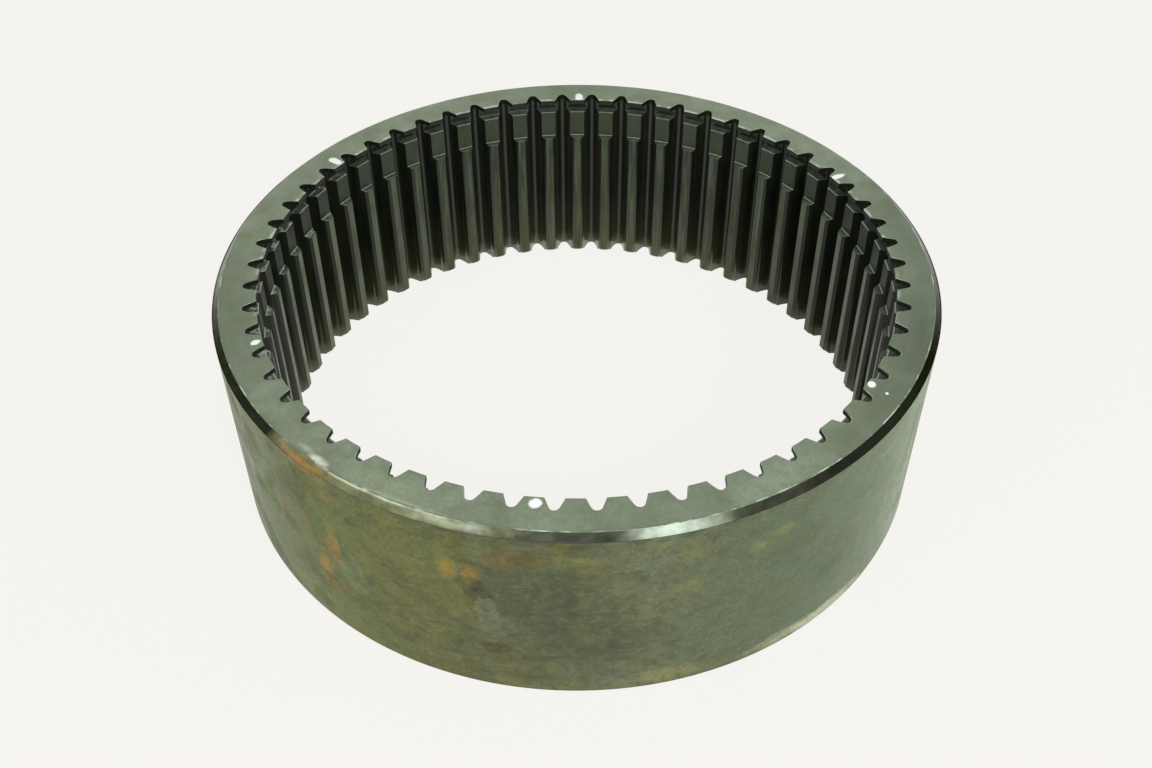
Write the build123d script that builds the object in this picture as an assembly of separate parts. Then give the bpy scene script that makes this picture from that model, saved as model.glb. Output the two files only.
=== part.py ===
from build123d import *
import math
import os

# An internal ring gear, machined from one steel forging.
# Millimetres, +Z up along the gear's axis, origin at the centre of the bottom face.
# The end with the retaining-ring groove is on top, and a tooth space is centred on +X.

# Teeth: straight, with involute flanks and a full round at the root of each space.
# Their tips stand short of a full module inside the pitch circle, as an internal gear's often do.
tooth_count = 58
module = 5.0
pressure_angle = 20.0
addendum = 3.0
dedendum = 6.4
backlash = 0.1

# Ring behind and along the teeth.
rim_wall = 13.6
face_width = 99.6
top_chamfer = 3.2
bottom_chamfer = 2.0

# Chamfer across the tooth tips at the bottom end, where the planet gears enter.
lead_in = 2.0

# Seat turned into the tooth tips at the top end, and the groove of its retaining ring.
seat_cut = 3.1
seat_depth = 21.4
groove_lip = 2.5
groove_width = 4.7
groove_depth = 4.5

# How far the cutter of a tooth space runs past the faces that it leaves through.
overrun = 2.0

# Points on the curve of one flank.
flank_points = 3

# Circles that follow from the sizes above.
pitch_radius = module * tooth_count / 2
base_radius = pitch_radius * math.cos(math.radians(pressure_angle))
tip_radius = pitch_radius - addendum
root_radius = pitch_radius + dedendum
outer_radius = root_radius + rim_wall
seat_radius = tip_radius + seat_cut
groove_radius = seat_radius + groove_depth


def roll_angle(radius):
    """How far the involute has unrolled from the base circle, in radians."""
    return math.sqrt((radius / base_radius) ** 2 - 1)


def half_space_angle(radius):
    """Half the angle that one tooth space takes up at a radius, in radians."""
    at_pitch = math.pi / (2 * tooth_count) + backlash / (2 * pitch_radius)
    pitch_roll = roll_angle(pitch_radius)
    roll = roll_angle(radius)
    return at_pitch + (pitch_roll - math.atan(pitch_roll)) - (roll - math.atan(roll))


def root_round_centre():
    """The radius on which the full round's centre lies, as far from the flanks as from the root."""
    centre = root_radius
    for _ in range(40):
        centre = root_radius - base_radius * half_space_angle(centre)
    return centre


def flank_point(radius, side):
    angle = side * half_space_angle(radius)
    return (radius * math.cos(angle), radius * math.sin(angle))


def flank(start_radius, side):
    """One flank, from inside the tooth tips to where the root's round begins."""
    centre = root_round_centre()
    first = roll_angle(start_radius)
    last = roll_angle(centre) + (root_radius - centre) / base_radius
    rolls = [first + (last - first) * k / (flank_points - 1) for k in range(flank_points)]
    return Spline([flank_point(base_radius * math.hypot(1, roll), side) for roll in rolls])


def tooth_space():
    """The cutter of the tooth space on +X."""
    start_radius = max(base_radius, tip_radius - overrun)
    inner_radius = min(base_radius, tip_radius) - overrun
    left = flank(start_radius, 1)
    right = flank(start_radius, -1)
    half_angle = math.degrees(half_space_angle(start_radius))
    left_end = Vector(inner_radius, 0).rotate(Axis.Z, half_angle)
    right_end = Vector(inner_radius, 0).rotate(Axis.Z, -half_angle)
    outline = [
        Line(left_end, left @ 0),
        left,
        ThreePointArc(left @ 1, (root_radius, 0), right @ 1),
        right,
        Line(right @ 0, right_end),
        Line(right_end, left_end),
    ]
    space = extrude(make_face(outline), face_width + 2 * overrun)
    return Pos(0, 0, -overrun) * space


def turned_blank():
    """The ring before its teeth are cut, when its bore is still the circle of the tooth tips."""
    groove_top = face_width - groove_lip
    groove_bottom = groove_top - groove_width
    ledge = face_width - seat_depth
    section = Polyline(
        (tip_radius + lead_in, 0),
        (outer_radius - bottom_chamfer, 0),
        (outer_radius, bottom_chamfer),
        (outer_radius, face_width - top_chamfer),
        (outer_radius - top_chamfer, face_width),
        (seat_radius, face_width),
        (seat_radius, groove_top),
        (groove_radius, groove_top),
        (groove_radius, groove_bottom),
        (seat_radius, groove_bottom),
        (seat_radius, ledge),
        (tip_radius, ledge),
        (tip_radius, lead_in),
        close=True,
    )
    return revolve(Plane.XZ * make_face(section), Axis.Z)


def ring_gear():
    cutter = tooth_space()
    spaces = [place * cutter for place in PolarLocations(0, tooth_count)]
    return turned_blank() - spaces


os.makedirs("parts", exist_ok=True)
export_step(ring_gear(), "parts/ring_gear.step")
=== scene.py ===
# An internal ring gear: one steel forging with an oxidised skin, a turned top face and oiled teeth.
import math

import bmesh
import bpy
from mathutils import Matrix, Vector


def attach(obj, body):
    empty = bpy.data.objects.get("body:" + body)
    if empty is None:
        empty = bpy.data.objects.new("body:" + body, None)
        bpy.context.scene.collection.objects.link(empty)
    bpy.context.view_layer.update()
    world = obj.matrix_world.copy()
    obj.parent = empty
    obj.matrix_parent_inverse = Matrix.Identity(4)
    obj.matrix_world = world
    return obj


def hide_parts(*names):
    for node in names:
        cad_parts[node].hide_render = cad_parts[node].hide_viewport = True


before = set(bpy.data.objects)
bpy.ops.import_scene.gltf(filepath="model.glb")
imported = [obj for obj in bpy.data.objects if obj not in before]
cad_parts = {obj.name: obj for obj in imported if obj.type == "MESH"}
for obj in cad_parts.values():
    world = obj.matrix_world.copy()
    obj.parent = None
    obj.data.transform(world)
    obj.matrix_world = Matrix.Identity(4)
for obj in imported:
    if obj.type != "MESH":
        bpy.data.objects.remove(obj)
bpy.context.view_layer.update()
print("frame loaded")

mm = 0.001


# camera and light

view = {
    "azimuth": -89.73,    # degrees round the gear's axis
    "distance": 0.4706,   # metres from the axis
    "height": 0.4595,     # metres above the floor
    "tilt": 47.19,        # degrees up from straight down
    "roll": -0.25,
    "lens": 40.06,
    "shiftX": -0.0009,
    "shiftY": 0.0004,
}


def makeCamera():
    azimuth = math.radians(view["azimuth"])
    spot = Vector((math.cos(azimuth), math.sin(azimuth), 0)) * view["distance"]
    spot.z = view["height"]
    turn = Matrix.Rotation(azimuth + math.pi / 2, 4, "Z")
    tilt = Matrix.Rotation(math.radians(view["tilt"]), 4, "X")
    roll = Matrix.Rotation(math.radians(view["roll"]), 4, "Z")
    data = bpy.data.cameras.new("camera")
    data.lens = view["lens"]
    data.sensor_width = 36
    data.clip_start = 0.01
    data.shift_x = view["shiftX"]
    data.shift_y = view["shiftY"]
    camera = bpy.data.objects.new("camera", data)
    camera.matrix_world = Matrix.Translation(spot) @ turn @ tilt @ roll
    bpy.context.scene.collection.objects.link(camera)
    bpy.context.scene.camera = camera


makeCamera()
bpy.context.scene.view_settings.view_transform = "Standard"


def hexColour(code):
    parts = [int(code[i:i + 2], 16) / 255 for i in (1, 3, 5)]
    linear = [c / 12.92 if c <= 0.04045 else ((c + 0.055) / 1.055) ** 2.4 for c in parts]
    return (*linear, 1)


def addNode(tree, kind, inputs=None, **settings):
    node = tree.nodes.new(kind)
    for name, value in settings.items():
        setattr(node, name, value)
    for socket, value in (inputs or {}).items():
        if isinstance(value, bpy.types.NodeSocket):
            tree.links.new(value, node.inputs[socket])
        else:
            node.inputs[socket].default_value = value
    return node


studio = {
    "paper": "#F6F4F0",
    "paperGlow": 0.95,      # how much of the paper's brightness is its own, so shadows stay faint
    "floorSize": 4.0,       # metres to each side
    "floorDrop": 0.05,      # millimetres under the ring, so the two faces don't fight
    "fill": 0.55,           # plain light from all round
    "fillColour": "#FFFFFF",
    "target": (0, -0.12, 0.09),
    "lamps": {
        # name: (azimuth, height above horizon, distance, width, brightness)
        "keySoftbox": (-58, 38, 1.2, 0.50, 12.0),
        "sideSoftbox": (-134, 35, 1.2, 0.60, 2.5),
    },
}


def makeLamps():
    target = Vector(studio["target"])
    for name, (azimuth, climb, distance, width, brightness) in studio["lamps"].items():
        data = bpy.data.lights.new(name, "AREA")
        data.size = width
        data.energy = brightness * math.pi * width ** 2
        lamp = bpy.data.objects.new(name, data)
        aim = Matrix.Rotation(math.radians(azimuth), 3, "Z") @ Vector(
            (math.cos(math.radians(climb)), 0, math.sin(math.radians(climb))))
        lamp.location = target + aim * distance
        lamp.rotation_euler = aim.to_track_quat("Z", "Y").to_euler()
        bpy.context.scene.collection.objects.link(lamp)


def seenDirectly(tree):
    # 1 for the camera and in reflections, 0 where the paper lights the object
    path = addNode(tree, "ShaderNodeLightPath")
    seen = path.outputs["Is Camera Ray"]
    for ray in ("Is Glossy Ray", "Is Transmission Ray"):
        seen = addNode(tree, "ShaderNodeMath", {0: seen, 1: path.outputs[ray]},
                       operation="MAXIMUM").outputs[0]
    return seen


def makeWorld():
    world = bpy.data.worlds.new("studio")
    world.use_nodes = True
    bpy.context.scene.world = world
    tree = world.node_tree
    tree.nodes.clear()
    backdrop = addNode(tree, "ShaderNodeBackground",
                       {"Color": hexColour(studio["paper"]), "Strength": 1.0})
    fill = addNode(tree, "ShaderNodeBackground",
                   {"Color": hexColour(studio["fillColour"]), "Strength": studio["fill"]})
    mix = addNode(tree, "ShaderNodeMixShader",
                  {0: seenDirectly(tree), 1: fill.outputs[0], 2: backdrop.outputs[0]})
    addNode(tree, "ShaderNodeOutputWorld", {0: mix.outputs[0]})


def makeFloor():
    bm = bmesh.new()
    bmesh.ops.create_grid(bm, x_segments=1, y_segments=1, size=studio["floorSize"])
    bmesh.ops.translate(bm, vec=(0, 0, -studio["floorDrop"] * mm), verts=bm.verts)
    mesh = bpy.data.meshes.new("floor")
    bm.to_mesh(mesh)
    bm.free()
    floor = bpy.data.objects.new("floor", mesh)
    bpy.context.scene.collection.objects.link(floor)
    material = bpy.data.materials.new("mattPaper")
    material.use_nodes = True
    tree = material.node_tree
    tree.nodes.clear()
    paper = hexColour(studio["paper"])
    glow = addNode(tree, "ShaderNodeEmission", {"Color": paper, "Strength": 1.0})
    plain = addNode(tree, "ShaderNodeBsdfDiffuse", {"Color": paper})
    share = addNode(tree, "ShaderNodeMath", {0: seenDirectly(tree), 1: studio["paperGlow"]},
                    operation="MULTIPLY")
    mix = addNode(tree, "ShaderNodeMixShader",
                  {0: share.outputs[0], 1: plain.outputs[0], 2: glow.outputs[0]})
    addNode(tree, "ShaderNodeOutputMaterial", {0: mix.outputs[0]})
    mesh.materials.append(material)


makeLamps()
makeWorld()
makeFloor()
print("studio built")


# the ring

ring = {
    # millimetres
    "teeth": 58,
    "pitchRadius": 145.0,
    "pressureAngle": 20.0,
    "backlash": 0.1,
    "tipRadius": 142.0,
    "tipCornerDepth": 1.2,     # the chamfer between each tip and its flanks
    "tipCornerWidth": 0.95,
    "tipTopChamfer": 0.8,
    "seatRadius": 145.1,
    "grooveRadius": 149.6,
    "rootRadius": 151.4,
    "outerRadius": 164.94,     # a hair under the CAD size, to stay inside the box of its facets
    "faceWidth": 99.6,
    "ledge": 78.2,
    "grooveBottom": 92.4,
    "grooveTop": 97.1,
    "leadIn": 2.0,
    "topChamfer": 3.2,
    "bottomChamfer": 2.0,
    "edgeBreak": 0.3,
    "edgeSteps": 2,
    "sharpAngle": 28,    # degrees; what bends more than this is rounded
    "flankSteps": 3,
    "rootSteps": 4,
}
bands = {"tooth": 0, "seat": 1, "rim": 2}    # rings of the flat plan, from the axis outwards
slots = {"skin": 0, "turned": 1, "chamfer": 2, "flank": 3, "tip": 4, "ledge": 5, "wornAndHighlit": 6}
weld = 0.001     # millimetres between two points that are one
slack = 0.01     # millimetres up or down at which a face or an edge still lies at a height
near = 0.1       # millimetres to either side when edges are looked for
level = 0.99     # the upward part of a normal on a face that lies flat
halfPitch = math.pi / ring["teeth"]
baseRadius = ring["pitchRadius"] * math.cos(math.radians(ring["pressureAngle"]))


def rollAngle(radius):
    return math.sqrt((radius / baseRadius) ** 2 - 1)


def halfSpaceAngle(radius):
    # half of one tooth space at a radius, from the involute of its flank
    atPitch = halfPitch / 2 + ring["backlash"] / (2 * ring["pitchRadius"])
    pitchRoll = rollAngle(ring["pitchRadius"])
    roll = rollAngle(radius)
    return atPitch + (pitchRoll - math.atan(pitchRoll)) - (roll - math.atan(roll))


def rootRoundCentre():
    # the radius as far from the flanks as from the root
    centre = ring["rootRadius"]
    for _ in range(40):
        centre = ring["rootRadius"] - baseRadius * halfSpaceAngle(centre)
    return centre


def ringVert(bm, radius, angle):
    return bm.verts.new((radius * math.cos(angle), radius * math.sin(angle), 0))


def sweepArc(bm, start, centre, angle, steps):
    run = [start]
    for _ in range(steps):
        swept = bmesh.ops.spin(bm, geom=[run[-1]], cent=centre, axis=(0, 0, 1),
                               angle=angle / steps, steps=1)
        run += [v for v in swept["geom_last"] if isinstance(v, bmesh.types.BMVert)]
    return run


def flatPlan(bm):
    # half of one pitch as three bands, tooth, seat and rim, then mirrored and spun round the axis
    centre = rootRoundCentre()
    rootRound = ring["rootRadius"] - centre
    tangentRoll = rollAngle(centre) + rootRound / baseRadius
    tangentRadius = baseRadius * math.hypot(1, tangentRoll)
    inner = ring["tipRadius"]
    cornerEnd = inner + ring["tipCornerDepth"]
    tipCorner = ringVert(bm, inner, halfSpaceAngle(inner) + ring["tipCornerWidth"] / inner)
    flankStart = ringVert(bm, cornerEnd, halfSpaceAngle(cornerEnd))
    tipMiddle = ringVert(bm, inner, halfPitch)
    seatMiddle = ringVert(bm, ring["seatRadius"], halfPitch)
    grooveMiddle = ringVert(bm, ring["grooveRadius"], halfPitch)
    step = (ring["grooveRadius"] - ring["seatRadius"]) / ring["flankSteps"]
    curve = []
    for k in range(ring["flankSteps"] + 1):
        radius = ring["seatRadius"] + step * k
        curve.append(ringVert(bm, radius, halfSpaceAngle(radius)))
    tangent = ringVert(bm, tangentRadius, halfSpaceAngle(tangentRadius))
    fromCentre = tangent.co - Vector((centre, 0, 0))
    sweep = -math.atan2(fromCentre.y, fromCentre.x)
    root = sweepArc(bm, tangent, (centre, 0, 0), sweep, ring["rootSteps"])
    outer = [ringVert(bm, ring["outerRadius"], halfPitch * part) for part in (0, 0.5, 1)]
    tooth = bm.faces.new([tipCorner, flankStart, curve[0], seatMiddle, tipMiddle])
    seat = bm.faces.new(curve + [grooveMiddle, seatMiddle])
    rim = bm.faces.new([curve[-1]] + root + outer + [grooveMiddle])
    tooth.material_index = bands["tooth"]
    seat.material_index = bands["seat"]
    rim.material_index = bands["rim"]
    bmesh.ops.mirror(bm, geom=bm.verts[:] + bm.edges[:] + bm.faces[:], axis="Y", merge_dist=weld)
    steps = ring["teeth"] - 1
    bmesh.ops.spin(bm, geom=bm.verts[:] + bm.edges[:] + bm.faces[:], axis=(0, 0, 1), cent=(0, 0, 0),
                   angle=2 * halfPitch * steps, steps=steps, use_duplicate=True)
    bmesh.ops.remove_doubles(bm, verts=bm.verts, dist=weld)


def beyond(faces, band):
    # the faces that lie farther out than a band
    return [f for f in faces if f.material_index > bands[band]]


def raiseBand(bm, faces, height, keepStart=False):
    # the walls round the faces' borders; gives back the faces at the new height
    grown = bmesh.ops.extrude_face_region(bm, geom=faces)
    verts = [v for v in grown["geom"] if isinstance(v, bmesh.types.BMVert)]
    bmesh.ops.translate(bm, vec=(0, 0, height), verts=verts)
    if not keepStart:
        bmesh.ops.delete(bm, geom=faces, context="FACES")
    return [f for f in grown["geom"] if isinstance(f, bmesh.types.BMFace)]


def cutEdges(bm, edges, offset, steps=1):
    made = bmesh.ops.bevel(bm, geom=edges, offset=offset, offset_type="OFFSET", segments=steps,
                           profile=0.5, affect="EDGES", material=-1, clamp_overlap=False)
    return made["faces"]


def isSharp(edge):
    return edge.is_manifold and edge.calc_face_angle() > math.radians(ring["sharpAngle"])


def edgesAt(bm, height, low, high):
    # the edges that lie at one height, between two radii
    found = []
    for edge in bm.edges:
        radii = [v.co.xy.length for v in edge.verts]
        atHeight = all(abs(v.co.z - height) < slack for v in edge.verts)
        if atHeight and low - near < min(radii) and max(radii) < high + near:
            found.append(edge)
    return found


def raiseBands(bm):
    # the plan is the bottom face; its bands rise to the ledge, the groove and the lip, and the lip
    # hangs down from a copy of the plan at the top
    flatPlan(bm)
    plan = bm.faces[:]
    copied = bmesh.ops.duplicate(bm, geom=beyond(plan, "tooth"))
    bmesh.ops.translate(bm, vec=(0, 0, ring["faceWidth"]),
                        verts=[v for v in copied["geom"] if isinstance(v, bmesh.types.BMVert)])
    lip = [f for f in copied["geom"] if isinstance(f, bmesh.types.BMFace)]
    toLedge = raiseBand(bm, plan, ring["ledge"], keepStart=True)
    toGroove = raiseBand(bm, beyond(toLedge, "tooth"), ring["grooveBottom"] - ring["ledge"])
    toLip = raiseBand(bm, beyond(toGroove, "seat"), ring["grooveTop"] - ring["grooveBottom"])
    underLip = raiseBand(bm, lip, ring["grooveTop"] - ring["faceWidth"], keepStart=True)
    joint = toLip + beyond(underLip, "seat")
    bmesh.ops.delete(bm, geom=joint, context="FACES")
    bmesh.ops.remove_doubles(bm, verts=bm.verts, dist=weld)
    bmesh.ops.recalc_face_normals(bm, faces=bm.faces)
    print("bands raised, edges left open:", sum(1 for e in bm.edges if not e.is_manifold))


def cutChamfers(bm):
    inner = ring["tipRadius"]
    cornerEnd = inner + ring["tipCornerDepth"]
    outside = ring["outerRadius"]
    cutEdges(bm, edgesAt(bm, 0, inner, cornerEnd), ring["leadIn"])
    cutEdges(bm, edgesAt(bm, ring["ledge"], inner, cornerEnd), ring["tipTopChamfer"])
    cutEdges(bm, edgesAt(bm, ring["faceWidth"], outside, outside), ring["topChamfer"])
    cutEdges(bm, edgesAt(bm, 0, outside, outside), ring["bottomChamfer"])


def slotOf(face):
    # which finish a face has, from where it lies and which way it looks
    middle = face.calc_center_median()
    radius = middle.xy.length
    inward = -face.normal.xy.dot(middle.xy) / radius
    up = face.normal.z
    outside = ring["outerRadius"]
    underGrooveTop = middle.z < ring["grooveTop"]
    if up > level and middle.z > ring["faceWidth"] - slack:
        return "turned"
    if radius > outside - 2 and middle.z > ring["faceWidth"] - ring["topChamfer"] and up > 0.3:
        return "chamfer"
    if radius > outside - 3 or up < -level and middle.z < slack:
        return "skin"
    if inward > 0.9 and radius < ring["seatRadius"] + 2 * near:
        return "tip"
    if up > 0.9 and ring["leadIn"] < middle.z and underGrooveTop:
        return "ledge"
    if up > 0.5 and underGrooveTop:
        return "tip"
    return "flank"


def makeRing(materials):
    bm = bmesh.new()
    raiseBands(bm)
    cutChamfers(bm)
    for face in bm.faces:
        face.material_index = slots[slotOf(face)]
    sharp = [e for e in bm.edges if isSharp(e)]
    rounded = cutEdges(bm, sharp, ring["edgeBreak"], ring["edgeSteps"])
    wornFrom = ring["faceWidth"] - 0.6 * ring["edgeBreak"]    # only the top's edges are worn, with a painted highlight on them
    for face in rounded:
        if face.is_valid and face.calc_center_median().z > wornFrom:
            face.material_index = slots["wornAndHighlit"]
    bmesh.ops.recalc_face_normals(bm, faces=bm.faces)
    bmesh.ops.scale(bm, vec=(mm, mm, mm), verts=bm.verts)
    for face in bm.faces:
        face.smooth = True
    mesh = bpy.data.meshes.new("ringGear")
    bm.to_mesh(mesh)
    bm.free()
    piece = bpy.data.objects.new("ringGear", mesh)
    bpy.context.scene.collection.objects.link(piece)
    for name in slots:
        mesh.materials.append(materials[name])
    crisp = piece.modifiers.new("flatFaces", "WEIGHTED_NORMAL")
    crisp.weight = 100
    triangles = sum(len(p.vertices) - 2 for p in mesh.polygons)
    print("ring", len(mesh.polygons), "faces", triangles, "triangles")
    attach(piece, "root")
    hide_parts("ring_gear")


# finishes

deep = 30    # millimetres, a patch's reach through the surface


def cloud(tree, place, size, stretch=(1, 1, 1), detail=3.0, low=0.35, high=0.65, shift=0.0):
    # noise with marks about `size` millimetres across, spread over 0 to 1
    moved = addNode(tree, "ShaderNodeMapping",
                    {"Vector": place, "Scale": stretch, "Location": (shift, 0, 0)})
    noise = addNode(tree, "ShaderNodeTexNoise",
                    {"Vector": moved.outputs[0], "Scale": 1 / (size * mm), "Detail": detail})
    return addNode(tree, "ShaderNodeMapRange", {0: noise.outputs[0], 1: low, 2: high}).outputs[0]


def layOver(tree, under, over, share, strength=1.0):
    part = addNode(tree, "ShaderNodeMath", {0: share, 1: strength}, operation="MULTIPLY")
    colour = hexColour(over) if isinstance(over, str) else over
    return addNode(tree, "ShaderNodeMix", {0: part.outputs[0], 6: under, 7: colour},
                   data_type="RGBA").outputs[2]


def raggedness(tree, place, size, reach):
    # a small push to either side that makes a patch's outline ragged
    noise = addNode(tree, "ShaderNodeTexNoise",
                    {"Vector": place, "Scale": 1 / (size * mm), "Detail": 7.0})
    centred = addNode(tree, "ShaderNodeVectorMath", {0: noise.outputs[1], 1: (0.5, 0.5, 0.5)},
                      operation="SUBTRACT")
    return addNode(tree, "ShaderNodeVectorMath", {0: centred.outputs[0], "Scale": reach},
                   operation="SCALE").outputs[0]


def patchShare(tree, place, ragged, angle, radius, height, size, edge):
    # 1 in a patch at degrees round, millimetres out and up, 0 outside it;
    # size is how far it reaches outwards, along and upwards
    turn = math.radians(angle)
    centre = Vector((math.cos(turn) * radius, math.sin(turn) * radius, height)) * mm
    local = addNode(tree, "ShaderNodeMapping",
                    {"Vector": place, "Location": centre, "Rotation": (0, 0, turn),
                     "Scale": Vector(size) * mm}, vector_type="TEXTURE")
    pushed = addNode(tree, "ShaderNodeVectorMath", {0: local.outputs[0], 1: ragged},
                     operation="ADD")
    ball = addNode(tree, "ShaderNodeTexGradient", {0: pushed.outputs[0]}, gradient_type="SPHERICAL")
    return addNode(tree, "ShaderNodeMapRange", {0: ball.outputs[1], 2: edge}).outputs[0]


def startMaterial(name):
    material = bpy.data.materials.new(name)
    material.use_nodes = True
    material.node_tree.nodes.clear()
    place = addNode(material.node_tree, "ShaderNodeTexCoord").outputs["Object"]
    return material, material.node_tree, place


def endMaterial(tree, sockets, relief=None, depth=0.0):
    if relief is not None:
        bump = addNode(tree, "ShaderNodeBump",
                       {"Height": relief, "Strength": 0.6, "Distance": depth * mm})
        sockets["Normal"] = bump.outputs[0]
    shader = addNode(tree, "ShaderNodeBsdfPrincipled", sockets)
    addNode(tree, "ShaderNodeOutputMaterial", {0: shader.outputs[0]})


skin = {
    "wander": 11,    # millimetres that the borders between the colours stray to either side
    # millimetres across the ring, colour of the skin there: its own olive and ochre tones with painted
    # light, lighter and greyer towards the right where the light falls on the wall, and a little lighter
    # at the far left
    "across": [
        (-160, "#66795D"),
        (-135, "#687750"),
        (-106, "#626F34"),
        (-82, "#666D35"),
        (-56, "#5E6032"),
        (-23, "#5B5D3A"),
        (4, "#5E6342"),
        (29, "#6C7255"),
        (56, "#5E684A"),
        (90, "#5F6C51"),
        (126, "#74856C"),
        (145, "#92A38B"),
        (162, "#96A78F"),
    ],
    "ochre": "#82803F",
    "grey": "#6B7C69",
    "soot": "#3A3D28",
    "rust": "#8A6630",
    "pale": "#98A284",
    "flake": "#808462",
    "rubbedSheen": "#C4D0BA",
    "sheen": "#E8ECE0",
    # size of the marks, their spread upwards, lower and upper cut, shift, colour, strength, where
    "marks": [
        (11, 1.0, 0.51, 0.6, 0.3, "ochre", 0.19, "mostly"),
        (9, 0.8, 0.53, 0.64, 1.1, "rust", 0.3, "onLeft"),
        (9, 1.3, 0.5, 0.64, 0.7, "soot", 0.32, "mostly"),
        (5, 1.0, 0.55, 0.6, 3.3, "flake", 0.18, "mostly"),
        (3.4, 1.2, 0.56, 0.6, 2.9, "soot", 0.24, "mostly"),
        (16, 14, 0.6, 0.64, 1.9, "pale", 0.12, "mostly"),
        # pale streaks at the left and right sides, partly rubbing and partly painted sheen where the
        # wall turns away
        (5, 0.14, 0.55, 0.65, 1.3, "rubbedSheen", 0.36, "atSides"),
    ],
    # degrees round, height, reach along, reach up, softness of the edge, colour, strength
    "patches": [
        (236, 84, 30, 18, 0.9, "#666B40", 0.5),
        (246, 62, 20, 40, 0.7, "#66683A", 0.7),
        (243, 28, 26, 16, 0.7, "#4C4A2C", 0.4),
        (249, 50, 16, 9, 0.7, "#4A4628", 0.6),
        (218, 66, 12, 26, 0.5, "#7A8A6A", 0.6),
        (226, 74, 12, 12, 0.8, "#5E6A50", 0.6),
        (227, 18, 18, 14, 0.8, "#6E7F50", 0.5),
        (236, 44, 9, 14, 0.3, "#7C8C62", 0.5),
        (247.5, 58, 22, 46, 0.12, "#70723F", 0.38),
        (225, 12, 20, 9, 0.5, "#7C8242", 0.55),
        (263.5, 60, 24, 32, 0.14, "#50543E", 0.5),
        (260, 85, 10, 7, 0.35, "#7E6E42", 0.55),
        (268, 56, 30, 26, 0.6, "#4A4F3C", 0.6),
        (275, 34, 40, 24, 0.8, "#484C38", 0.7),
        (285, 40, 8, 10, 0.7, "#5E6F60", 0.6),
        (281, 72, 20, 12, 0.8, "#566148", 0.5),
        (310, 40, 22, 26, 0.8, "#56664F", 0.6),
        (303, 66, 14, 14, 0.8, "#52644F", 0.5),
        (256.6, 61, 6.5, 8, 0.4, "#343829", 0.85),
        (257.6, 51, 5, 9, 0.15, "#70765C", 0.7),
        (259.2, 43, 9, 8, 0.15, "#6E745A", 0.7),
        (257.0, 36, 6, 8, 0.6, "#6C7654", 0.7),
        (258.4, 28, 8, 5, 0.5, "#4E4024", 0.85),
        (238.8, 33, 5, 4, 0.8, "#5E4C26", 0.4),
        (229, 95.4, 19, 2.6, 0.9, "#A67E40", 0.8),
        (234, 86, 10, 4, 0.9, "#8C7038", 0.5),
        (233, 56, 5, 15, 0.8, "#A88438", 0.85),
        (230.5, 38, 5, 15, 0.8, "#AC8238", 0.85),
        (231, 27, 5, 6, 0.8, "#8E7038", 0.7),
        (221.4, 56, 3.5, 9, 0.8, "#94743C", 0.6),
        (224, 36, 4, 8, 0.9, "#7E7A40", 0.6),
        (238, 60, 5, 5, 0.8, "#8A7838", 0.6),
        (252.4, 74, 5.2, 8.0, 0.8, "#A28838", 0.9),
        (255.6, 73, 5.0, 7.0, 0.8, "#98782F", 0.9),
        (250, 84, 12, 6, 0.9, "#70794E", 0.6),
        (270.7, 86.5, 12, 3.0, 0.9, "#82824A", 0.7),
        (262, 85, 14, 8.0, 0.8, "#665A34", 0.7),
        (281, 92, 6, 2.5, 0.9, "#8E8E58", 0.6),
        (286, 66, 12, 5, 0.9, "#7C7C48", 0.5),
        (295.6, 76, 6, 4, 0.9, "#8A8C54", 0.7),
        (299.5, 80, 7, 4, 0.9, "#8C9058", 0.7),
        (269, 94.2, 16, 1.6, 0.8, "#4C4428", 0.8),
        (283.5, 8, 26, 5.5, 0.7, "#8E8E56", 0.75),
        (262, 6, 24, 4, 0.9, "#7A7A48", 0.6),
        (303, 6, 24, 4.5, 0.7, "#B2B894", 0.75),
        (331, 74, 5, 22, 0.9, "#4E5B50", 0.6),
        (336, 58, 4, 24, 0.9, "#56625A", 0.5),
        (319, 16, 16, 10, 0.9, "#6C7A68", 0.6),
        (312, 5, 28, 4.5, 0.5, "#C8CCB0", 0.8),
        (321, 84, 8, 1.6, 0.8, "#9CA88C", 0.6),
        (351, 95, 16, 9, 0.8, "#4E584C", 0.7),
    ],
}


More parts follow.
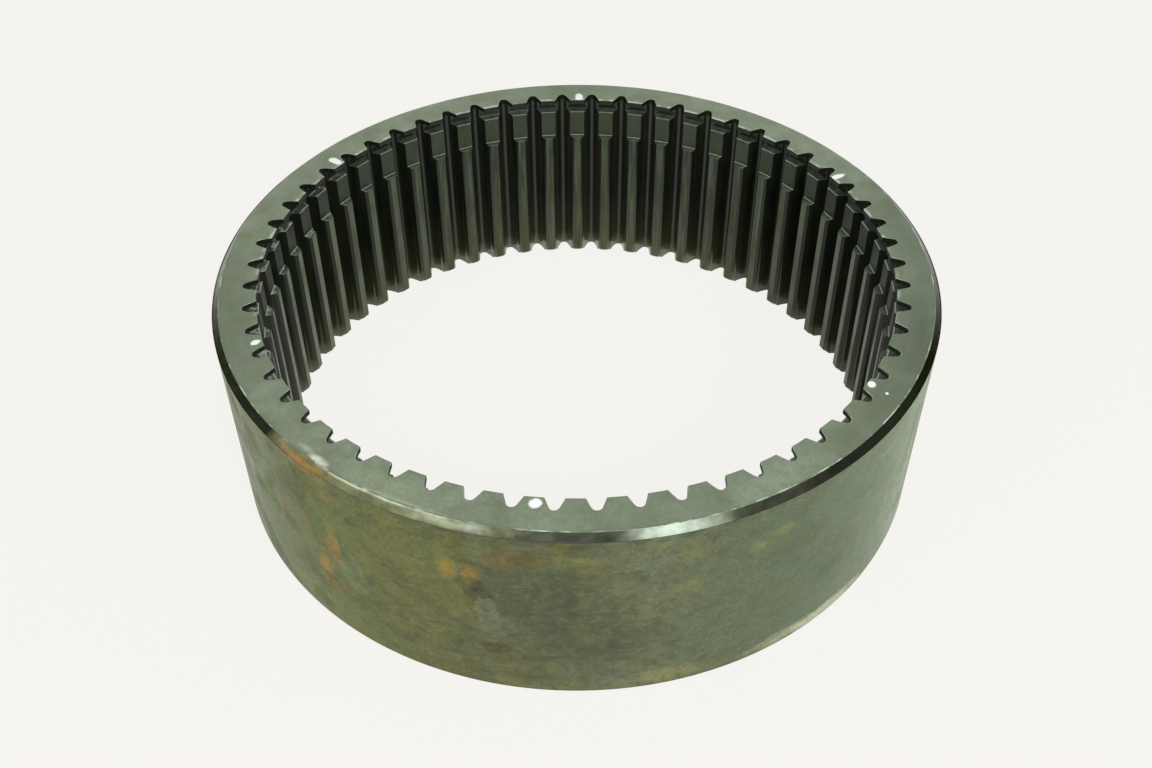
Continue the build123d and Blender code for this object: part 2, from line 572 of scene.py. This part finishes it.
def makeSkin():
    # forged and oxidised steel under old oil: dull, mottled and smeared along the turning, half
    # metal and half film, so the eye sees olive grey with ochre and brown breaks and a soft sheen
    material, tree, place = startMaterial("oxidisedForgedSteel")
    drift = cloud(tree, place, 16, detail=4.0)
    across = addNode(tree, "ShaderNodeSeparateXYZ", {0: place}).outputs[0]
    wander = skin["wander"]
    wandering = addNode(tree, "ShaderNodeMath", {0: drift, 1: 2 * wander * mm, 2: across},
                        operation="MULTIPLY_ADD").outputs[0]
    before, code = skin["across"][0]
    colour = hexColour(code)
    for after, code in skin["across"][1:]:
        share = addNode(tree, "ShaderNodeMapRange",
                        {0: wandering, 1: (before + wander) * mm, 2: (after + wander) * mm}).outputs[0]
        colour = layOver(tree, colour, code, share)
        before = after
    aside = addNode(tree, "ShaderNodeMath", {0: across}, operation="ABSOLUTE").outputs[0]
    # the part of the skin that each kind of mark keeps to
    where = {
        "onLeft": addNode(tree, "ShaderNodeMapRange", {0: across, 1: -60 * mm, 2: -110 * mm}).outputs[0],
        "atSides": addNode(tree, "ShaderNodeMapRange", {0: aside, 1: 128 * mm, 2: 148 * mm}).outputs[0],
        "mostly": addNode(tree, "ShaderNodeMapRange",
                          {0: wandering, 1: 45 * mm, 2: 110 * mm, 3: 1.0, 4: 0.25}).outputs[0],
    }
    greys = cloud(tree, place, 16, detail=6.0, low=0.48, high=0.58)
    colour = layOver(tree, colour, skin["grey"], greys, 0.28)
    ragged = raggedness(tree, place, size=6.0, reach=1.2)
    for angle, height, along, up, edge, code, strength in skin["patches"]:
        share = patchShare(tree, place, ragged, angle, ring["outerRadius"], height,
                           (deep, along, up), edge)
        colour = layOver(tree, colour, code, share, strength)
    for size, upwards, low, high, shift, name, strength, area in skin["marks"]:
        marks = cloud(tree, place, size, stretch=(1, 1, upwards), detail=7.0,
                      low=low, high=high, shift=shift)
        part = addNode(tree, "ShaderNodeMath", {0: marks, 1: where[area]}, operation="MULTIPLY")
        colour = layOver(tree, colour, skin[name], part.outputs[0], strength)
    # the oxide's scale is 0.3 mm, drawn coarser to show
    grain = cloud(tree, place, 1.3, detail=4.0, low=0.4, high=0.62)
    colour = layOver(tree, colour, skin["soot"], grain, 0.24)
    specks = cloud(tree, place, 2.2, detail=3.0, low=0.6, high=0.66, shift=2.3)
    colour = layOver(tree, colour, skin["pale"], specks, 0.12)
    rough = addNode(tree, "ShaderNodeMapRange", {0: greys, 3: 0.4, 4: 0.56}).outputs[0]
    endMaterial(tree, {"Base Color": colour, "Metallic": 0.5, "Roughness": rough,
                       "Specular Tint": hexColour(skin["sheen"])}, grain, 0.035)
    return material


turned = {
    "steel": "#8A9883",
    "dull": "#6A7662",
    "bright": "#A4B39C",
    "stain": "#6E6C50",
    "wornAndHighlit": "#C2D6CA",
    # degrees round, radius, reach outwards, reach along, softness, colour, strength; the nine broad
    # patches first are painted reflection, darkening and lightening the face round the ring as the room
    # would mirror in it, darkest to the right and lightest at the front
    "patches": [
        (340, 157, 26, 80, 1.0, "#465144", 0.95),
        (10, 157, 22, 55, 1.0, "#566353", 0.75),
        (318, 157, 16, 30, 1.0, "#56624F", 0.6),
        (194, 157, 24, 80, 1.0, "#5C6856", 0.8),
        (150, 157, 20, 60, 1.0, "#76836F", 0.5),
        (90, 157, 20, 76, 1.0, "#6E7B68", 0.75),
        (241, 156, 14, 26, 0.9, "#9AA888", 0.7),
        (300, 156, 14, 22, 0.9, "#98A692", 0.7),
        (60, 156, 14, 24, 0.9, "#8E9C86", 0.5),
        (172, 157, 5, 7, 0.8, "#7E8048", 0.5),
        (246, 161.5, 2.4, 40, 0.8, "#B8C4A4", 0.7),
        (231.4, 160.6, 2.8, 6.0, 0.6, "#F0F6E0", 0.95),
        (228.5, 159, 1.8, 6.0, 0.8, "#C8D2B8", 0.6),
    ],
    # white paint dabs: degrees round, radius, reach outwards, reach along
    "dabs": [
        (264.1, 148.6, 2.9, 2.9),
        (89.6, 148.2, 4.4, 2.4),
        (145.15, 150.0, 4.7, 2.3),
        (201.9, 148.3, 2.5, 1.9),
        (28.5, 148.2, 4.6, 2.0),
        (326.0, 147.1, 2.2, 2.0),
        (325.4, 154.6, 0.8, 0.8),
    ],
    "paint": "#F4FFF8",
}


def makeTurnedFace():
    # steel faced on a lathe and gone grey: rings round the axis and dull blotches give a satin
    # sheen; the dabs are chalky paint, flat and bright against it
    material, tree, place = startMaterial("facedSteel")
    flat = addNode(tree, "ShaderNodeMapping", {"Vector": place, "Scale": (1, 1, 0)})
    out = addNode(tree, "ShaderNodeVectorMath", {0: flat.outputs[0]}, operation="LENGTH").outputs[1]
    # the feed marks are 0.2 mm apart, drawn coarser to show
    rings = addNode(tree, "ShaderNodeTexNoise", {"W": out, "Scale": 1 / (1.1 * mm), "Detail": 2.0},
                    noise_dimensions="1D").outputs[0]
    blotches = cloud(tree, place, 17, detail=5.0)
    stains = cloud(tree, place, 9, detail=5.0, low=0.5, high=0.7, shift=0.4)
    grain = cloud(tree, place, 1.5, detail=2.0, low=0.3, high=0.7)
    colour = layOver(tree, hexColour(turned["steel"]), turned["dull"], blotches, 0.6)
    broad = raggedness(tree, place, size=14.0, reach=0.6)
    for angle, radius, outwards, along, edge, code, strength in turned["patches"]:
        share = patchShare(tree, place, broad, angle, radius, ring["faceWidth"],
                           (outwards, along, deep), edge)
        colour = layOver(tree, colour, code, share, strength)
    colour = layOver(tree, colour, turned["bright"], rings, 0.22)
    colour = layOver(tree, colour, turned["stain"], stains, 0.38)
    colour = layOver(tree, colour, turned["dull"], grain, 0.35)
    # partly wear, partly painted highlight: the edge of the bore is drawn bright and broken on the far
    # side, where it faces the light
    depth = addNode(tree, "ShaderNodeSeparateXYZ", {0: place}).outputs[1]
    farSide = addNode(tree, "ShaderNodeMapRange", {0: depth, 1: -50 * mm, 2: 10 * mm}).outputs[0]
    brow = addNode(tree, "ShaderNodeMapRange",
                   {0: out, 1: 147.2 * mm, 2: 146.0 * mm, 4: farSide}).outputs[0]
    wornAndHighlit = cloud(tree, place, 6, detail=4.0, low=0.44, high=0.56, shift=0.8)
    rimHighlight = addNode(tree, "ShaderNodeMath", {0: brow, 1: wornAndHighlit}, operation="MULTIPLY").outputs[0]
    colour = layOver(tree, colour, turned["wornAndHighlit"], rimHighlight, 0.8)
    ragged = raggedness(tree, place, size=3.0, reach=0.8)
    painted = 0.0
    for angle, radius, outwards, along in turned["dabs"]:
        share = patchShare(tree, place, ragged, angle, radius, ring["faceWidth"],
                           (outwards, along, deep), 0.3)
        painted = addNode(tree, "ShaderNodeMath", {0: painted, 1: share},
                          operation="MAXIMUM").outputs[0]
    colour = layOver(tree, colour, turned["paint"], painted)
    metal = addNode(tree, "ShaderNodeMapRange", {0: painted, 3: 0.85, 4: 0.0}).outputs[0]
    rough = addNode(tree, "ShaderNodeMapRange", {0: blotches, 3: 0.35, 4: 0.46}).outputs[0]
    endMaterial(tree, {"Base Color": colour, "Metallic": metal, "Roughness": rough}, rings, 0.01)
    return material


chamfer = {
    "radius": 163,        # millimetres, about its middle
    "steel": "#2A2D24",
    "smeared": "#1E1F18",
    "bareShine": "#FFFFFF",
    "oiled": "#90948A",   # what a film of oil leaves of the shine along the near side
    # degrees round, height, reach along, reach up, softness, colour, strength, share of polish hidden
    "patches": [
        (200, 98, 60, 30, 1.0, "#40463A", 0.8, 0.0),
        (183, 98, 24, 30, 0.9, "#6C7A68", 0.8, 0.0),
        (353, 98, 24, 30, 0.9, "#1C1F18", 0.7, 0.0),
        (266, 98, 26, 30, 0.9, "#62665A", 0.9, 0.0),
        (300, 98, 20, 30, 0.9, "#4A4E40", 0.9, 0.0),
        (283, 98, 24, 30, 0.9, "#4E564F", 0.9, 0.0),
        (246, 98, 52, 30, 0.35, "#787D5C", 0.95, 0.8),
        (251, 98.4, 16, 2.2, 0.9, "#A2AC90", 0.8, 0.6),
        (256, 98.2, 8, 2.0, 0.9, "#A6B2A8", 0.7, 0.4),
        (240, 99.4, 46, 0.8, 0.6, "#C4CCB0", 0.9, 0.7),
        (228, 98, 22, 30, 0.5, "#8A8258", 0.9, 1.0),
        (230, 96.8, 15, 1.8, 0.8, "#A87A38", 0.8, 1.0),
    ],
}


def makeChamfer():
    # a chamfer burnished by handling: nearly black, with the lamps in it as sharp lights,
    # rust over one stretch of it and a dull pale stretch beside that
    material, tree, place = startMaterial("burnishedChamfer")
    ragged = raggedness(tree, place, size=7.0, reach=0.8)
    streaks = cloud(tree, place, 5, stretch=(1, 1, 2), detail=5.0, low=0.4, high=0.64)
    colour = hexColour(chamfer["steel"])
    hidden = 0.0
    for angle, height, along, up, edge, code, strength, dull in chamfer["patches"]:
        share = patchShare(tree, place, ragged, angle, chamfer["radius"], height,
                           (deep, along, up), edge)
        colour = layOver(tree, colour, code, share, strength)
        cover = addNode(tree, "ShaderNodeMath", {0: share, 1: dull}, operation="MULTIPLY")
        hidden = addNode(tree, "ShaderNodeMath", {0: hidden, 1: cover.outputs[0]},
                         operation="MAXIMUM").outputs[0]
    colour = layOver(tree, colour, chamfer["smeared"], streaks, 0.4)
    metal = addNode(tree, "ShaderNodeMapRange", {0: hidden, 3: 1.0, 4: 0.2}).outputs[0]
    rough = addNode(tree, "ShaderNodeMapRange", {0: hidden, 3: 0.2, 4: 0.55}).outputs[0]
    # the oil film lies on the near side only
    depth = addNode(tree, "ShaderNodeSeparateXYZ", {0: place}).outputs[1]
    clean = addNode(tree, "ShaderNodeMapRange", {0: depth, 1: -70 * mm, 2: -20 * mm}).outputs[0]
    shine = layOver(tree, hexColour(chamfer["oiled"]), chamfer["bareShine"], clean)
    endMaterial(tree, {"Base Color": colour, "Metallic": metal, "Roughness": rough,
                       "Specular Tint": shine}, streaks, 0.01)
    return material


oilSheen = "#D6E4C8"    # the green cast of what the oiled teeth reflect

flank = {
    "steel": "#0E120B",
    "dragged": "#1C2216",
    "brown": "#26240F",
    "low": "#3E4224",
    "foot": "#7C8262",
    # the lip's near black is painted shade
    "lip": "#111910",
}


def makeFlank():
    # broached steel, near black under an oil film: dull drag lines down the flanks, paler and
    # browner low down where the floor lights them, and a thin clear film that draws one narrow
    # light down each root
    material, tree, place = startMaterial("oiledFlank")
    axes = addNode(tree, "ShaderNodeSeparateXYZ", {0: place}).outputs
    height = axes[2]
    side = addNode(tree, "ShaderNodeMath", {0: axes[0]}, operation="ABSOLUTE").outputs[0]
    drag = cloud(tree, place, 2.4, stretch=(1, 1, 0.08), detail=5.0)
    broad = cloud(tree, place, 12, stretch=(1, 1, 0.5), detail=5.0, low=0.45, high=0.65)
    # the lower part, the foot and the lip above the groove, by their heights
    low = addNode(tree, "ShaderNodeMapRange", {0: height, 1: 40 * mm, 2: 5 * mm}).outputs[0]
    foot = addNode(tree, "ShaderNodeMapRange", {0: height, 1: 9 * mm, 2: 1 * mm}).outputs[0]
    lip = addNode(tree, "ShaderNodeMapRange", {0: height, 1: 96.6 * mm, 2: 97.2 * mm}).outputs[0]
    colour = layOver(tree, hexColour(flank["steel"]), flank["dragged"], drag, 0.6)
    colour = layOver(tree, colour, flank["brown"], broad, 0.3)
    colour = layOver(tree, colour, flank["low"], low, 0.5)
    colour = layOver(tree, colour, flank["foot"], foot, 0.55)
    # painted shade: the lip above the groove drawn near black, as in shadow
    colour = layOver(tree, colour, flank["lip"], lip, 0.9)
    rough = addNode(tree, "ShaderNodeMapRange", {0: drag, 3: 0.45, 4: 0.65}).outputs[0]
    # the oil is thinner on the teeth to the left and right, and the lip is dry
    thick = addNode(tree, "ShaderNodeMapRange",
                    {0: side, 1: 70 * mm, 2: 125 * mm, 3: 0.9, 4: 0.4}).outputs[0]
    film = addNode(tree, "ShaderNodeMapRange", {0: lip, 3: thick, 4: 0.0}).outputs[0]
    endMaterial(tree, {"Base Color": colour, "Metallic": 0.0, "Roughness": rough,
                       "Specular IOR Level": 0.15, "Specular Tint": hexColour(oilSheen),
                       "Coat Weight": film, "Coat Roughness": 0.14}, drag, 0.03)
    return material


tip = {
    "steel": "#2B332A",
    "low": "#43492C",
    # painted light on the tips at the left and right
    "aside": "#67755A",
    "dragged": "#5E6A54",
    "seat": "#363F32",
    "brown": "#34321C",
    # painted shade on the seat at the sides and on the lip
    "seatSideShade": "#0E130D",
    "lip": "#121B13",
}


def makeTip():
    # the turned tooth tips: the same oiled steel worn to a dull olive grey, browner towards the bottom,
    # darker and duller on the seat; painted light makes them lighter at the left and right, and painted
    # shade darkens the seat further at the sides and draws the lip above the groove near black
    material, tree, place = startMaterial("oiledTip")
    axes = addNode(tree, "ShaderNodeSeparateXYZ", {0: place}).outputs
    drag = cloud(tree, place, 1.6, stretch=(1, 1, 0.06), detail=6.0, low=0.42, high=0.62)
    broad = cloud(tree, place, 12, stretch=(1, 1, 0.6), detail=5.0, low=0.45, high=0.65)
    side = addNode(tree, "ShaderNodeMath", {0: axes[0]}, operation="ABSOLUTE").outputs[0]
    aside = addNode(tree, "ShaderNodeMapRange", {0: side, 1: 80 * mm, 2: 142 * mm}).outputs[0]
    low = addNode(tree, "ShaderNodeMapRange", {0: axes[2], 1: 55 * mm, 2: 10 * mm}).outputs[0]
    seat = addNode(tree, "ShaderNodeMapRange", {0: axes[2], 1: 77 * mm, 2: 79 * mm}).outputs[0]
    lip = addNode(tree, "ShaderNodeMapRange", {0: axes[2], 1: 96.5 * mm, 2: 97.2 * mm}).outputs[0]
    seatSideShade = addNode(tree, "ShaderNodeMath", {0: seat, 1: aside}, operation="MULTIPLY")
    colour = layOver(tree, hexColour(tip["steel"]), tip["low"], low, 0.8)
    # painted light: the tips drawn lighter at the left and right, where they are seen edge-on
    colour = layOver(tree, colour, tip["aside"], aside, 0.8)
    colour = layOver(tree, colour, tip["dragged"], drag, 0.5)
    colour = layOver(tree, colour, tip["seat"], seat, 0.85)
    colour = layOver(tree, colour, tip["brown"], broad, 0.4)
    # painted shade: the seat drawn near black at the left and right
    colour = layOver(tree, colour, tip["seatSideShade"], seatSideShade.outputs[0], 0.8)
    # painted shade: the lip above the groove drawn near black
    colour = layOver(tree, colour, tip["lip"], lip, 0.85)
    rough = addNode(tree, "ShaderNodeMapRange", {0: broad, 3: 0.38, 4: 0.54}).outputs[0]
    endMaterial(tree, {"Base Color": colour, "Metallic": 0.0, "Roughness": rough,
                       "Specular IOR Level": 0.4, "Specular Tint": hexColour(oilSheen)}, drag, 0.04)
    return material


ledge = {
    "steel": "#444D40",
    "paleMottle": "#687462",
    "bareShine": "#C8D2C4",
    "edgeHighlight": "#B6C2AC",
}


def makeLedge():
    # the two faces that look up inside: machined grey, drawn lighter than the teeth as painted light on
    # faces that look up, mottled paler, with a painted highlight as a pale line where each meets the
    # seat and painted glints on the left
    material, tree, place = startMaterial("machinedLitLedge")
    flat = addNode(tree, "ShaderNodeMapping", {"Vector": place, "Scale": (1, 1, 0)})
    out = addNode(tree, "ShaderNodeVectorMath", {0: flat.outputs[0]}, operation="LENGTH").outputs[1]
    away = addNode(tree, "ShaderNodeMath", {0: out, 1: ring["seatRadius"] * mm},
                   operation="SUBTRACT").outputs[0]
    gap = addNode(tree, "ShaderNodeMath", {0: away}, operation="ABSOLUTE").outputs[0]
    # painted highlight: a pale line where each ledge meets the seat
    edgeHighlight = addNode(tree, "ShaderNodeMapRange", {0: gap, 1: 0.8 * mm, 2: 0.4 * mm}).outputs[0]
    paleMottle = cloud(tree, place, 4, detail=4.0)
    across = addNode(tree, "ShaderNodeSeparateXYZ", {0: place}).outputs[0]
    onLeft = addNode(tree, "ShaderNodeMapRange", {0: across, 1: -118 * mm, 2: -132 * mm}).outputs[0]
    # painted glints: pale specks at the left-hand ends of the ledges
    bareShine = cloud(tree, place, 3.5, detail=4.0, low=0.52, high=0.58, shift=0.9)
    glints = addNode(tree, "ShaderNodeMath", {0: bareShine, 1: onLeft}, operation="MULTIPLY").outputs[0]
    # painted light: a grey lighter than the teeth, for faces that look up
    colour = layOver(tree, hexColour(ledge["steel"]), ledge["paleMottle"], paleMottle, 0.7)
    colour = layOver(tree, colour, ledge["bareShine"], glints, 0.7)
    colour = layOver(tree, colour, ledge["edgeHighlight"], edgeHighlight, 0.8)
    endMaterial(tree, {"Base Color": colour, "Metallic": 0.4, "Roughness": 0.4})
    return material


highlitWornEdge = {
    "dull": "#66725F",
    "bright": "#B4C4B2",
}


def makeHighlitWornEdge():
    # edges knocked bright by handling, with a painted highlight on them: a thin broken line of light
    # round the top
    material, tree, place = startMaterial("highlitWornEdge")
    broken = cloud(tree, place, 9, detail=4.0, low=0.48, high=0.62)
    colour = layOver(tree, hexColour(highlitWornEdge["dull"]), highlitWornEdge["bright"], broken)
    endMaterial(tree, {"Base Color": colour, "Metallic": 0.4, "Roughness": 0.38})
    return material


finishes = {
    "skin": makeSkin(),
    "turned": makeTurnedFace(),
    "chamfer": makeChamfer(),
    "flank": makeFlank(),
    "tip": makeTip(),
    "ledge": makeLedge(),
    "wornAndHighlit": makeHighlitWornEdge(),
}
print("finishes made:", len(finishes))
makeRing(finishes)
